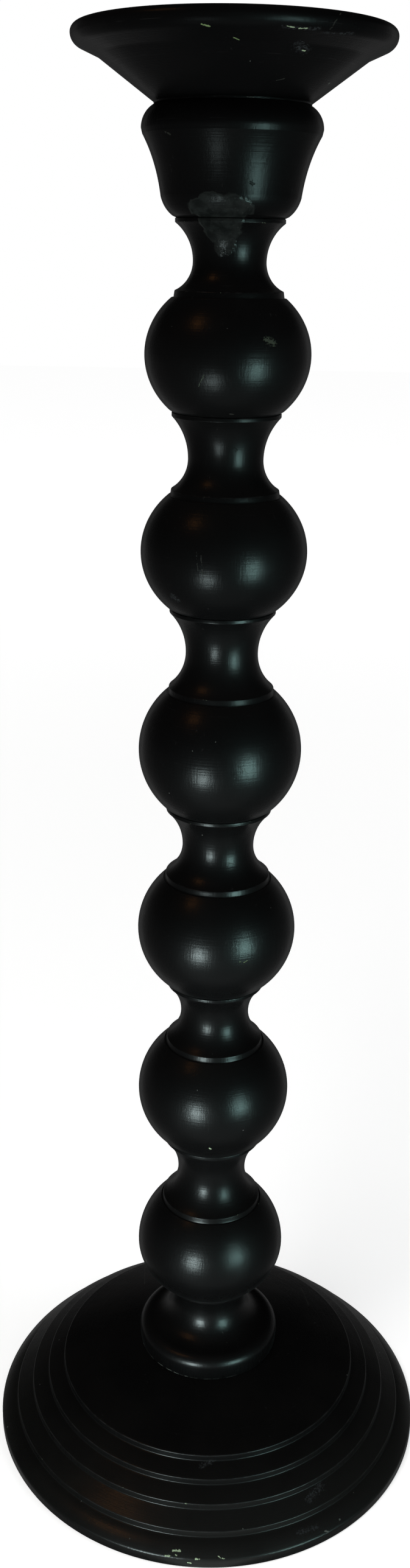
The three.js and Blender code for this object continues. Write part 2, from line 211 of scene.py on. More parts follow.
PAN_WEAR = (
    # Two specks: painted glints, small bright yellow-green spots on the rim's lower side
    ("speck", (-11.2, 752.6), (-8.6, 751.9), 0.8),
    ("speck", (-0.9, 748.9), (1.2, 748.2), 0.7),
    ("nick", (7, 741.5), (7, 741.5), 0.9),
    ("scuff", (15.5, 752.4), (28.5, 752.5), 1.9),
    ("chip", (16.5, 752.7), (19.5, 752.3), 0.6),
    ("chip", (21.0, 752.2), (24.0, 752.4), 0.7),
    ("scuff", (30, 751.6), (43, 752.4), 1.4),
    ("scuff", (25.5, 747.4), (29.0, 746.0), 5.0),
    ("chip", (28.8, 745.9), (30.0, 745.8), 1.0),
    ("scratch", (36, 758.8), (33.5, 755.4), 0.6),
    ("scratch", (33.5, 755.4), (32.6, 752.8), 0.7),
    ("nick", (66, 736.8), (66, 736.8), 1.1),
    ("scratch", (24, 735.6), (28, 736.4), 0.6),
    ("scratch", (-14, 729.6), (1, 729.6), 0.4),
    ("nick", (9, 729.6), (14, 729.5), 0.4),
    ("nick", (-160, 755.2), (-158, 754.8), 1.0),
)

# The marks' looks: kind, colour in linear light, and depth in metres. The specks are painted glints, not
# wear
MARK_LOOKS = (
    ("scuff", (0.016, 0.018, 0.019), 0.00002),
    ("scratch", (0.014, 0.015, 0.013), 0.00005),
    ("dull", (0.026, 0.034, 0.024), 0.00008),
    ("nick", (0.060, 0.068, 0.060), 0.00008),
    # Painted glint: small bright yellow-green spots in the gloss
    ("speck", (0.10, 0.145, 0.065), 0.00006),
    ("chip", (0.20, 0.26, 0.17), 0.00015),
    ("pit", (0.0010, 0.0010, 0.0010), 0.00030),
)
MARK_ROUGHNESS = 0.2

# Colours of the paint and of what lies on it, in linear light
PAINT_DARK = (0.0014, 0.0014, 0.0015)
PAINT_PALE = (0.0028, 0.0028, 0.0028)
SETTLED_DUST = (0.0040, 0.0038, 0.0036)
TREAD_DUST = (0.0058, 0.0060, 0.0056)
PALE_SPECK = (0.10, 0.105, 0.10)
HAIRLINE = (0.020, 0.020, 0.020)
RUBBED_PAINT = (0.016, 0.016, 0.016)
WAX_THIN = (0.0045, 0.0054, 0.0051)
WAX_THICK = (0.0092, 0.0110, 0.0103)
# Painted glints in the wax, and a painted highlight along the rim of the wax
WAX_PAINTED_GLINT = (0.020, 0.024, 0.022)
WAX_RIM_PAINTED_HIGHLIGHT = (0.022, 0.026, 0.024)

# Textures of the paint, in features to the metre
PATCHES = 26
WAVES = 55
SPECKS = 120
HAIRS = 620
PEEL = 750
GRAIN = 1100
LINES = 1300
RAGGED_EDGES = 1100
WAX_CLOUDS = 240
# Size of the painted glints in the wax
WAX_PAINTED_GLINTS = 640

# How far the grain and the upright hairlines are drawn out along the turning
GRAIN_DRAWN = (1, 1, 0.07)
HAIRS_DRAWN = (1, 1, 0.09)

# Depth of the paint's bumps, in metres
WAVE_DEPTH = 0.00020
LINE_DEPTH = 0.000072
GRAIN_DEPTH = 0.000064
PEEL_DEPTH = 0.000012
HAIR_DEPTH = 0.000015
WAX_DEPTH = 0.00015

# Roughness of the paint, what its patches, its grain and rubbing add, and what the wax takes off.
# Towards grazing angles it is at least the value that runs between the last two.
PAINT_ROUGHNESS = 0.22
PATCH_ROUGHNESS = 0.06
GRAIN_ROUGHNESS = 0.06
RUBBED_ROUGHNESS = 0.10
WAX_SMOOTHS = 0.04
GRAZING_ROUGHNESS = (0.20, 0.6)

# Rough and very thin coat that makes the faint haze round the bright spots
COAT_WEIGHT = 0.0025
COAT_ROUGHNESS = 0.6

# The wax: azimuth of its middle in radians, height where it is widest, the half width in radians and half
# height of its upper and lower parts, how much its outline wobbles, and where it thins out to nothing
WAX_MIDDLE = -0.17
WAX_HEIGHT = 683.0
WAX_UPPER = (0.52, 8.9)
WAX_LOWER = (0.43, 17.6)
WAX_WOBBLE = 1.1
WAX_EDGE = (0.78, 1.06)

# What most lamps aim at, in metres
MIDDLE = (0, 0, 0.30)

# Two soft lamps light the paint, and two panes and a warm lamp show in its gloss alone. A card on the
# floor does both. Places and sizes are in metres, power in watts and spread in degrees.
LAMPS = (
    dict(
        name="key", place=(-1.1, -1.4, 2.6), target=MIDDLE,
        size=(1.6, 1.6), power=38, colour=(1, 0.99, 0.97), glossy=False,
    ),
    dict(
        name="fill", place=(1.6, -0.6, 1.5), target=MIDDLE,
        size=(1.4, 1.4), power=10, colour=(0.96, 0.98, 1), glossy=False,
    ),
    dict(
        name="pane_left", place=(-0.28, -0.64, 0.05), target=(0, 0, 0.22),
        size=(0.17, 0.29), power=25, colour=(0.82, 1, 1), diffuse=False, spread=66,
    ),
    dict(
        name="pane_right", place=(0.64, -0.78, 0.115), target=MIDDLE,
        size=(0.31, 0.80), power=39, colour=(0.60, 1, 0.96), diffuse=False, spread=60,
    ),
    dict(
        name="card", place=(0, -0.405, 0.0005), target=(0, -0.405, 1),
        size=(1.0, 0.56), power=6.5, colour=(0.94, 1, 1),
    ),
    dict(
        name="warm", place=(-1.67, -0.89, 2.79), target=MIDDLE,
        size=(0.22, 0.22), power=70, colour=(1, 0.42, 0.12), diffuse=False,
    ),
)

# How bright the white wall is in the gloss: it fades upward and to the left, between two directions
WALL_FADE_UP = (0.10, 0.42)
WALL_ABOVE = 0.03
WALL_FADE_LEFT = (-0.8, -0.2)
WALL_LEFT = 0.4

# Even light from all round on what isn't gloss
AMBIENT = 0.22

# The floor: its reach each way and its shade, and the glow that takes it out to white, from near to far
FLOOR_REACH = 8.0
FLOOR_SHADE = 0.8
FLOOR_NEAR = (0.3, 0.56)
FLOOR_FAR = (3.0, 0.80)

# Plain white, for what shows behind the object
WHITE = (1, 1, 1, 1)


def place_camera():
    """Camera at the photograph's viewing angle: above the middle of the stand, looking down a little."""
    image_height = 2576
    focal_pixels = 2411.0
    sensor = 36.0
    distance = 722.0 * MM
    eye_height = 670.4 * MM
    side_step = -7.4 * MM
    look_down = math.radians(20.19)
    roll = math.radians(0.957)
    data = bpy.data.cameras.new("photo_camera")
    data.sensor_fit = "VERTICAL"
    data.sensor_height = sensor
    data.lens = focal_pixels * sensor / image_height
    data.clip_start = 0.01
    data.clip_end = 50.0
    camera = bpy.data.objects.new("photo_camera", data)
    bpy.context.scene.collection.objects.link(camera)
    camera.matrix_world = (
        Matrix.Translation((side_step, -distance, eye_height))
        @ Matrix.Rotation(math.radians(90) - look_down, 4, "X")
        @ Matrix.Rotation(roll, 4, "Z")
    )
    bpy.context.scene.camera = camera


def area_lamp(name, place, target, size, power, colour, diffuse=True, glossy=True, spread=180):
    """A round or oval lamp that the camera doesn't see."""
    data = bpy.data.lights.new(name, "AREA")
    data.shape = "ELLIPSE"
    data.size, data.size_y = size
    data.spread = math.radians(spread)
    data.energy = power
    data.color = colour
    lamp = bpy.data.objects.new(name, data)
    bpy.context.scene.collection.objects.link(lamp)
    lamp.location = place
    lamp.rotation_euler = (Vector(target) - Vector(place)).to_track_quat("-Z", "Y").to_euler()
    lamp.visible_camera = False
    lamp.visible_diffuse = diffuse
    lamp.visible_glossy = glossy


class Nodes:
    """A short way to write a node tree."""

    def __init__(self, tree):
        self.tree = tree
        self.tree.nodes.clear()

    def put(self, kind, inputs=None, **settings):
        node = self.tree.nodes.new(kind)
        for key, value in settings.items():
            setattr(node, key, value)
        for key, value in (inputs or {}).items():
            if isinstance(value, bpy.types.NodeSocket):
                self.tree.links.new(value, node.inputs[key])
            else:
                node.inputs[key].default_value = value
        return node

    def math(self, operation, a, b=0.0, c=0.0, clamp=False):
        node = self.put("ShaderNodeMath", {0: a, 1: b, 2: c}, operation=operation, use_clamp=clamp)
        return node.outputs[0]

    def vector(self, operation, a, b=(0, 0, 0)):
        node = self.put("ShaderNodeVectorMath", {0: a, 1: b}, operation=operation)
        return node.outputs["Value" if operation in ("LENGTH", "DISTANCE", "DOT_PRODUCT") else "Vector"]

    def ramp(self, value, low, high, to_low=0.0, to_high=1.0):
        """Smooth step of value between low and high."""
        inputs = {"Value": value, "From Min": low, "From Max": high, "To Min": to_low, "To Max": to_high}
        node = self.put("ShaderNodeMapRange", inputs, interpolation_type="SMOOTHSTEP", clamp=True)
        return node.outputs["Result"]

    def noise(self, vector, scale, detail=2.0, roughness=0.5):
        inputs = {"Vector": vector, "Scale": scale, "Detail": detail, "Roughness": roughness}
        return self.put("ShaderNodeTexNoise", inputs).outputs["Fac"]

    def mix(self, factor, a, b, kind="Color"):
        """Colour a, or b where the factor is 1; numbers instead where the kind is Float."""
        node = self.put("ShaderNodeMix", data_type="RGBA" if kind == "Color" else "FLOAT")
        for key, value in (("Factor_Float", factor), (f"A_{kind}", a), (f"B_{kind}", b)):
            socket = next(s for s in node.inputs if s.identifier == key)
            if isinstance(value, bpy.types.NodeSocket):
                self.tree.links.new(value, socket)
            else:
                socket.default_value = (*value, 1.0) if isinstance(value, tuple) else value
        return next(s for s in node.outputs if s.identifier == f"Result_{kind}")

    def bump(self, height, distance, normal=None):
        """Bump of a height from 0 to 1 that stands distance metres proud."""
        inputs = {"Height": height, "Distance": distance, "Strength": 1.0}
        if normal is not None:
            inputs["Normal"] = normal
        return self.put("ShaderNodeBump", inputs).outputs["Normal"]

    def paint(self, colour, rough, normal, finish=None):
        """Ends a material in its one shader. The finish gives plain values by the names of sockets."""
        inputs = {"Base Color": colour, "Roughness": rough, "Normal": normal, **(finish or {})}
        self.end(self.put("ShaderNodeBsdfPrincipled", inputs), "ShaderNodeOutputMaterial")

    def end(self, shader, kind):
        output = self.put(kind)
        self.tree.links.new(shader.outputs[0], output.inputs["Surface"])


def new_material(name):
    """A new material with its nodes, and the place on the object, in metres, for its textures."""
    material = bpy.data.materials.new(name)
    material.use_nodes = True
    nodes = Nodes(material.node_tree)
    return material, nodes, nodes.put("ShaderNodeTexCoord").outputs["Object"]


def seen_rays(nodes):
    """1 for rays that show the background: straight from the camera, off gloss or through glass."""
    path = nodes.put("ShaderNodeLightPath")
    seen = nodes.math("MAXIMUM", path.outputs["Is Camera Ray"], path.outputs["Is Glossy Ray"])
    return nodes.math("MAXIMUM", seen, path.outputs["Is Transmission Ray"])


def light_world():
    """White wall for the camera and, dimmed above and to the left, for the gloss; even light otherwise."""
    world = bpy.data.worlds.new("studio")
    bpy.context.scene.world = world
    world.use_nodes = True
    nodes = Nodes(world.node_tree)
    direction = nodes.put("ShaderNodeTexCoord").outputs["Generated"]
    parts = nodes.put("ShaderNodeSeparateXYZ", {0: direction})
    upward = nodes.ramp(parts.outputs["Z"], *WALL_FADE_UP, 1.0, WALL_ABOVE)
    sideways = nodes.ramp(parts.outputs["X"], *WALL_FADE_LEFT, WALL_LEFT, 1.0)
    wall = nodes.math("MULTIPLY", upward, sideways)
    wall = nodes.math("MAXIMUM", wall, nodes.put("ShaderNodeLightPath").outputs["Is Camera Ray"])
    strength = nodes.mix(seen_rays(nodes), AMBIENT, wall, "Float")
    background = nodes.put("ShaderNodeBackground", {"Color": WHITE, "Strength": strength})
    nodes.end(background, "ShaderNodeOutputWorld")


def lay_floor():
    """A plain pale floor that keeps the shadow of the stand and runs out to white."""
    square = ((-1, -1), (1, -1), (1, 1), (-1, 1))
    mesh = bpy.data.meshes.new("floor")
    mesh.from_pydata([(x * FLOOR_REACH, y * FLOOR_REACH, 0) for x, y in square], [], [(0, 1, 2, 3)])
    floor = bpy.data.objects.new("floor", mesh)
    bpy.context.scene.collection.objects.link(floor)
    material, nodes, place = new_material("floor_white")
    (near, near_glow), (far, far_glow) = FLOOR_NEAR, FLOOR_FAR
    glow = nodes.ramp(nodes.vector("LENGTH", place), near, far, near_glow, far_glow)
    glow = nodes.math("MULTIPLY", seen_rays(nodes), glow)
    light = nodes.put("ShaderNodeEmission", {"Color": WHITE, "Strength": glow})
    matt = nodes.put("ShaderNodeBsdfDiffuse", {"Color": (FLOOR_SHADE, FLOOR_SHADE, FLOOR_SHADE, 1)})
    both = nodes.put("ShaderNodeAddShader", {0: matt.outputs[0], 1: light.outputs[0]})
    nodes.end(both, "ShaderNodeOutputMaterial")
    mesh.materials.append(material)


def arc(centre, radii, start, end, step=0.8):
    """Points of an elliptical arc between two angles in degrees, about a step apart."""
    length = math.radians(abs(end - start)) * (radii[0] + radii[1]) / 2
    count = max(4, math.ceil(length / step))
    angles = [math.radians(start + (end - start) * i / count) for i in range(count + 1)]
    return [(centre[0] + radii[0] * math.cos(a), centre[1] + radii[1] * math.sin(a)) for a in angles]


def curve(start, bend, end, step=0.8):
    """Points of a curve that leaves start and meets end along the lines to the bend."""
    length = math.dist(start, bend) + math.dist(bend, end)
    count = max(4, math.ceil(length / step))
    points = []
    for i in range(count + 1):
        t = i / count
        weights = ((1 - t) ** 2, 2 * t * (1 - t), t * t)
        points.append(tuple(sum(w * p[k] for w, p in zip(weights, (start, bend, end))) for k in (0, 1)))
    return points


def rounded(before, corner, after, radius):
    """Round of a radius in the corner between two straight stretches, within about half of each."""
    most, count = 0.48, 6
    corner, back, on = Vector(corner), Vector(before) - Vector(corner), Vector(after) - Vector(corner)
    half = back.angle(on) / 2
    reach = min(radius / math.tan(half), back.length * most, on.length * most)
    start, end = corner + back.normalized() * reach, corner + on.normalized() * reach
    points = []
    for i in range(count + 1):
        t = i / count
        points.append(tuple(start * (1 - t) ** 2 + corner * 2 * t * (1 - t) + end * t * t))
    return points


def line(start, end, step=0.9):
    """Points of a straight run, at most a step apart."""
    count = max(1, math.ceil(math.dist(start, end) / step))
    return [tuple(a + (b - a) * i / count for a, b in zip(start, end)) for i in range(count + 1)]


def path(*stretches):
    """Joins stretches into one outline, with straight runs between them cut to short steps."""
    longest, shortest = 1.2, 1e-3
    outline = []
    for stretch in stretches:
        for point in stretch if isinstance(stretch, list) else [stretch]:
            if outline and math.dist(outline[-1], point) > longest:
                outline += line(outline[-1], point)[1:]
            elif not outline or math.dist(outline[-1], point) > shortest:
                outline.append(point)
    return outline


def radius_at(outline, height):
    """Radius of the outside of an outline at a height."""
    radii = [0.0]
    for (r0, z0), (r1, z1) in zip(outline, outline[1:]):
        if min(z0, z1) <= height <= max(z0, z1) and z0 != z1:
            radii.append(r0 + (r1 - r0) * (height - z0) / (z1 - z0))
    return max(radii)


def cove(shoulder, least, bottom, throat, top):
    """Round cove between two shoulders of one radius, thinnest at its throat."""
    depth = shoulder - least

    def side(half, way):
        radius = (depth * depth + half * half) / (2 * depth)
        reach = math.degrees(math.asin(min(1, half / radius)))
        return arc((least + radius, throat), (radius, radius), 180, 180 + way * reach)

    return side(throat - bottom, 1)[::-1] + side(top - throat, -1)[1:]


def ball_side(size, joint_radius, bottom):
    """Side of a ball from its joint to the foot of the collar that laps down over it."""
    widest = size["widest"]
    above = size["ball_height"] - widest
    lower = widest / math.sqrt(1 - (joint_radius / size["ball"]) ** 2)
    upper = above / math.sqrt(1 - (size["shoulder"] / size["ball"]) ** 2)
    centre = (0, bottom + widest)
    start = -math.degrees(math.asin(widest / lower))
    end = math.degrees(math.asin((above - COLLAR_LAP) / upper))
    return arc(centre, (size["ball"], lower), start, 0) + arc(centre, (size["ball"], upper), 0, end)[1:]


def bobbin_outline(size, joint_radius, bottom):
    """A ball on its joint, and above it a neck with a shoulder at each end."""
    collar = bottom + size["ball_height"]
    ledge = collar - COLLAR_LAP
    top = collar + size["neck_height"]
    shoulder = size["shoulder"]
    foot = (shoulder + COLLAR_LEAN, ledge)
    ball = ball_side(size, joint_radius, bottom)
    neck_foot, neck_head = collar + SHOULDER_HEIGHT, top - SHOULDER_HEIGHT
    neck = cove(shoulder, size["neck"], neck_foot, collar + size["throat"], neck_head)
    inset = joint_radius - JOINT_ROUND
    return path(
        (0, bottom), (inset - 1, bottom), (inset, bottom),
        [p for p in ball if p[1] > bottom + JOINT_ROUND][:-1],
        rounded(ball[-2], ball[-1], foot, LEDGE_ROUND),
        rounded(ball[-1], foot, (shoulder, collar), LEDGE_ROUND),
        rounded(foot, (shoulder, neck_foot), neck[2], ARRIS_ROUND),
        neck[2:-2],
        rounded(neck[-3], (shoulder, neck_head), (shoulder, top), ARRIS_ROUND),
        rounded((shoulder, neck_head), (shoulder, top), (0, top), JOINT_ROUND),
        (0, top),
    )


def base_outline():
    """Straight edge, stepped rings and crown, with the felt's recess below."""
    height = BASE_UNDERSIDE + BASE_EDGE_HEIGHT
    under = (BASE_RADIUS, BASE_UNDERSIDE)
    corners = [((BASE_RADIUS, height), BASE_EDGE_ROUND)]
    for ring, fall in enumerate(RING_TREAD_FALLS):
        radius = BASE_RADIUS - (ring + 1) * RING_RUN
        corners.append(((radius, height + fall), RING_FILLET))
        height += fall + RING_RISE
        corners.append(((radius, height), RING_ROUND))
    last = corners[-1][0]
    seat = (FOOT_SEAT_RADIUS, FOOT_SEAT)
    bend = ((last[0] + seat[0]) / 2, (last[1] + seat[1]) / 2 + CROWN_BULGE)
    chain = [under, *(corner for corner, _ in corners), bend]
    rounds = [rounded(a, b, c, size) for a, b, c, (_, size) in zip(chain, chain[1:], chain[2:], corners)]
    edge = chain[1]
    shoulder = (edge[0] - BASE_ROLL[0], edge[1] + BASE_ROLL[1])
    roll = curve(edge, shoulder, rounds[1][0])
    rounds[0] = rounded(under, edge, shoulder, BASE_EDGE_ROUND)
    rounds.insert(1, [point for point in roll if point[0] < rounds[0][-1][0]])
    return path(
        (0, FELT_THICKNESS), (FELT_RECESS_RADIUS, FELT_THICKNESS), (FELT_RECESS_RADIUS, BASE_UNDERSIDE),
        rounded((FELT_RECESS_RADIUS, BASE_UNDERSIDE), under, corners[0][0], ARRIS_ROUND),
        *rounds,
        curve(rounds[-1][-1], bend, seat),
        (0, FOOT_SEAT),
    )


def foot_outline():
    """A tall bead that draws in a little to its seat, a cove and a short neck."""
    centre = (FOOT_RADIUS - FOOT_BEAD_RADIUS, FOOT_SEAT + FOOT_BAND_HEIGHT)
    seat = (FOOT_SEAT_RADIUS, FOOT_SEAT)
    bend = (FOOT_RADIUS, FOOT_SEAT + FOOT_BAND_HEIGHT / 2)
    band = curve(seat, bend, (FOOT_RADIUS, centre[1]))
    throat = FOOT_SEAT + FOOT_THROAT_HEIGHT
    shoulder_foot = STEM_SEAT - SHOULDER_HEIGHT
    lower = (centre[0] - FOOT_NECK_RADIUS, throat - centre[1] - FOOT_BEAD_RADIUS)
    upper = (FOOT_SHOULDER_RADIUS - FOOT_NECK_RADIUS, shoulder_foot - throat)
    flare = arc((FOOT_SHOULDER_RADIUS, throat), upper, 180, 90)
    top = (FOOT_SHOULDER_RADIUS, STEM_SEAT)
    return path(
        (0, FOOT_SEAT),
        rounded((0, FOOT_SEAT), seat, band[1], JOINT_ROUND),
        band[1:],
        arc(centre, (FOOT_BEAD_RADIUS, FOOT_BEAD_RADIUS), 0, 90, 0.5)[1:],
        arc((centre[0], throat), lower, 270, 180)[1:],
        flare[1:-2],
        rounded(flare[-3], (FOOT_SHOULDER_RADIUS, shoulder_foot), top, ARRIS_ROUND),
        rounded((top[0], shoulder_foot), top, (0, top[1]), JOINT_ROUND),
        (0, STEM_SEAT),
    )


def cup_outline(joint_radius):
    """Round corner below, flaring wall, lip and round shoulder under the pan."""
    lip_bottom = (CUP_LIP_RADIUS - CUP_LIP_DRAFT, CUP_LIP_HEIGHT - CUP_LIP_FACE)
    centre = (CUP_LIP_RADIUS - CUP_SHOULDER_RADIUS, CUP_LIP_HEIGHT)
    reach = math.degrees(math.asin(min(1, (CUP_HEIGHT - CUP_LIP_HEIGHT) / CUP_SHOULDER_RADIUS)))
    sides = (
        curve((joint_radius, 0), CUP_FOOT_BEND, CUP_WAIST)
        + curve(CUP_WAIST, CUP_WALL_BEND, lip_bottom)[1:-1]
        + rounded(CUP_WALL_BEND, lip_bottom, (CUP_LIP_RADIUS, CUP_LIP_HEIGHT), ARRIS_ROUND)
        + arc(centre, (CUP_SHOULDER_RADIUS, CUP_SHOULDER_RADIUS), 0, reach)
    )
    raised = [(radius, CUP_SEAT + height) for radius, height in sides]
    return path(
        (0, CUP_SEAT), (joint_radius - JOINT_ROUND, CUP_SEAT),
        [p for p in raised if p[1] > CUP_SEAT + JOINT_ROUND],
        (0, PAN_SEAT),
    )


def pan_outline():
    """Cone below, a heavy rolled rim, and a shallow dish inside."""
    level = PAN_TOP - PAN_RIM_BEAD
    cone_top = (PAN_CONE_TOP[0], PAN_SEAT + PAN_CONE_TOP[1])
    land = (PAN_SEAT_RADIUS, PAN_SEAT + PAN_LAND)
    under_centre = (PAN_RIM_RADIUS - PAN_UNDER_RADIUS, level)
    under = arc(under_centre, (PAN_UNDER_RADIUS, PAN_UNDER_RADIUS), -PAN_UNDER_TURN, 0, 0.5)
    bead_centre = (PAN_RIM_RADIUS - PAN_RIM_BEAD, level)
    inner = (PAN_RIM_RADIUS - 2 * PAN_RIM_BEAD, level)
    bend = (PAN_WALL_BEND[0], PAN_FLOOR + PAN_WALL_BEND[1])
    return path(
        (0, PAN_SEAT),
        rounded((0, PAN_SEAT), (PAN_SEAT_RADIUS, PAN_SEAT), land, LEDGE_ROUND),
        rounded((PAN_SEAT_RADIUS, PAN_SEAT), land, cone_top, ARRIS_ROUND),
        cone_top,
        under,
        arc(bead_centre, (PAN_RIM_BEAD, PAN_RIM_BEAD), 0, 180, 0.5)[1:],
        curve(inner, bend, (PAN_FLOOR_RADIUS, PAN_FLOOR))[1:],
        (0, PAN_FLOOR),
    )


def felt_outline():
    """A flat disc with a soft lower edge."""
    fuzz = 0.3
    return path(
        (0, 0),
        rounded((0, 0), (FELT_RADIUS, 0), (FELT_RADIUS, FELT_THICKNESS), fuzz),
        (FELT_RADIUS, FELT_THICKNESS), (0, FELT_THICKNESS),
    )


def spike_outline():
    """Collar level with the plate and a slim spike with a blunted tip."""
    collar_seat = PLATE_TOP - SPIKE_COLLAR_HEIGHT
    tip = PLATE_TOP + SPIKE_HEIGHT
    collar = (SPIKE_COLLAR_RADIUS, PLATE_TOP)
    return path(
        (0, collar_seat), (SPIKE_COLLAR_RADIUS, collar_seat),
        rounded((SPIKE_COLLAR_RADIUS, collar_seat), collar, (SPIKE_RADIUS, PLATE_TOP), LEDGE_ROUND),
        rounded(collar, (SPIKE_RADIUS, PLATE_TOP), (SPIKE_TIP_RADIUS, tip), RING_ROUND),
        arc((0, tip - SPIKE_TIP_RADIUS), (SPIKE_TIP_RADIUS, SPIKE_TIP_RADIUS), 0, 90, 0.1),
    )


def arris_wear(outline):
    """How sharply the outline turns outward at each point, from 0 to 1: worn where it is an arris."""
    shortest = 0.1
    worn = []
    for before, here, after in zip(outline, outline[1:], outline[2:]):
        come, go = Vector(here) - Vector(before), Vector(after) - Vector(here)
        turn = math.atan2(come.x * go.y - come.y * go.x, come.dot(go))
        length = max(shortest, (come.length + go.length) / 2)
        worn.append(min(1.0, max(0.0, turn / length * ARRIS_ROUND)))
    return worn


def turned(name, outline, node, material, segments):
    """Spins an outline round Z into a closed mesh that stands for the CAD node of the same piece."""
    outline = [(max(0.0, radius), height) for radius, height in outline]
    ring = outline[1:-1]
    angles = [2 * math.pi * i / segments for i in range(segments)]
    points = [(0, 0, outline[0][1] * MM)]
    for radius, height in ring:
        points += [(radius * MM * math.sin(a), -radius * MM * math.cos(a), height * MM) for a in angles]
    points.append((0, 0, outline[-1][1] * MM))
    last = len(points) - 1
    faces = []
    for i in range(segments):
        j = (i + 1) % segments
        faces.append((0, 1 + j, 1 + i))
        for row in range(len(ring) - 1):
            low, high = 1 + row * segments, 1 + (row + 1) * segments
            faces.append((low + i, low + j, high + j, high + i))
        top = 1 + (len(ring) - 1) * segments
        faces.append((top + i, top + j, last))
    mesh = bpy.data.meshes.new(name)
    mesh.from_pydata(points, [], faces)
    mesh.shade_smooth()
    worn = [0.0, *(value for value in arris_wear(outline) for _ in angles), 0.0]
    mesh.attributes.new("arris", "FLOAT", "POINT").data.foreach_set("value", worn)
    mesh.materials.append(material)
    piece = bpy.data.objects.new(name, mesh)
    bpy.context.scene.collection.objects.link(piece)
    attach(piece, "root")
    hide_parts(node)


def on_surface(spot, outline):
    """Point on a turning, in metres, from an azimuth and a height."""
    azimuth, height = spot
    radius = radius_at(outline, height)
    angle = math.radians(azimuth)
    return Vector((radius * math.sin(angle), -radius * math.cos(angle), height)) * MM


def mark(nodes, place, ragged, outline, start, end, width):
    """1 on a mark that runs from start to end on a turning, or on a spot, with a ragged edge."""
    shortest = 0.1 * MM
    start, end = on_surface(start, outline), on_surface(end, outline)
    run = end - start
    distance = nodes.vector("DISTANCE", place, tuple(start))
    if run.length > shortest:
        offset = nodes.vector("SUBTRACT", place, tuple(start))
        share = nodes.vector("DOT_PRODUCT", offset, tuple(run / run.length_squared))
        share = nodes.math("ADD", share, 0.0, clamp=True)
        scale = nodes.put("ShaderNodeVectorMath", {0: tuple(run), "Scale": share}, operation="SCALE")
        distance = nodes.vector("DISTANCE", offset, scale.outputs[0])
    half = width * MM / 2
    distance = nodes.math("MULTIPLY_ADD", ragged, half, distance)
    inner, outer = 0.75 * half, 1.15 * half
    return nodes.ramp(distance, inner, outer, 1.0, 0.0)


def marks_of(nodes, place, ragged, outline, wear, kind):
    """1 on every mark of a kind, or 0 where the piece has none."""
    total = 0.0
    for name, start, end, width in wear:
        if name == kind:
            one = mark(nodes, place, ragged, outline, start, end, width)
            total = one if total == 0.0 else nodes.math("MAXIMUM", total, one)
    return total


def wax_film(nodes, place, height):
    """1 on the thin film of wax that ran down the front of the cup and over the neck below it."""
    parts = nodes.put("ShaderNodeSeparateXYZ", {0: place})
    back = nodes.math("MULTIPLY", parts.outputs["Y"], -1.0)
    azimuth = nodes.math("SUBTRACT", nodes.math("ARCTAN2", parts.outputs["X"], back), WAX_MIDDLE)
    rise = nodes.math("SUBTRACT", height, WAX_HEIGHT * MM)
    wobble = nodes.math("SUBTRACT", nodes.noise(place, 190, 3), 0.5)

    def lobe(half_width, half_height):
        across = nodes.math("POWER", nodes.math("DIVIDE", nodes.math("ABSOLUTE", azimuth), half_width), 2.0)
        up = nodes.math("POWER", nodes.math("DIVIDE", nodes.math("ABSOLUTE", rise), half_height * MM), 2.0)
        return nodes.math("ADD", across, up)

    above = nodes.math("GREATER_THAN", rise, 0.0)
    upper, lower = lobe(*WAX_UPPER), lobe(*WAX_LOWER)
    reach = nodes.math("MULTIPLY_ADD", above, nodes.math("SUBTRACT", upper, lower), lower)
    reach = nodes.math("MULTIPLY_ADD", wobble, WAX_WOBBLE, reach)
    return nodes.ramp(reach, *WAX_EDGE, 1.0, 0.0)


def wax_coat(nodes, place, height, patches, coat):
    """Milky wax over the paint, with a painted highlight along its rim, small painted glints and soft
    ridges.
    """
    colour, rough, normal = coat
    film = wax_film(nodes, place, height)
    clouds = nodes.noise(place, WAX_CLOUDS, 3, 0.55)
    # Spots of painted glint on the wax
    flecks = nodes.ramp(nodes.noise(place, WAX_PAINTED_GLINTS, 3, 0.65), 0.59, 0.72, 0.0, 0.6)
    # A painted highlight along the rim of the wax
    rim_highlight = nodes.math("MULTIPLY", film, nodes.math("SUBTRACT", 1.0, film))
    rim_highlight = nodes.math("MULTIPLY", rim_highlight, nodes.ramp(patches, 0.3, 0.6, 0.6, 2.4))
    wax_tone_and_glints = nodes.mix(nodes.ramp(clouds, 0.36, 0.66), WAX_THIN, WAX_THICK)
    wax_tone_and_glints = nodes.mix(flecks, wax_tone_and_glints, WAX_PAINTED_GLINT)
    wax_tone_and_glints = nodes.mix(rim_highlight, wax_tone_and_glints, WAX_RIM_PAINTED_HIGHLIGHT)
    ridges = nodes.math("MULTIPLY", film, nodes.math("MULTIPLY_ADD", clouds, 1.5, 0.6))
    colour = nodes.mix(film, colour, wax_tone_and_glints)
    rough = nodes.math("MULTIPLY_ADD", film, -WAX_SMOOTHS, rough)
    return colour, rough, nodes.bump(ridges, WAX_DEPTH, normal)


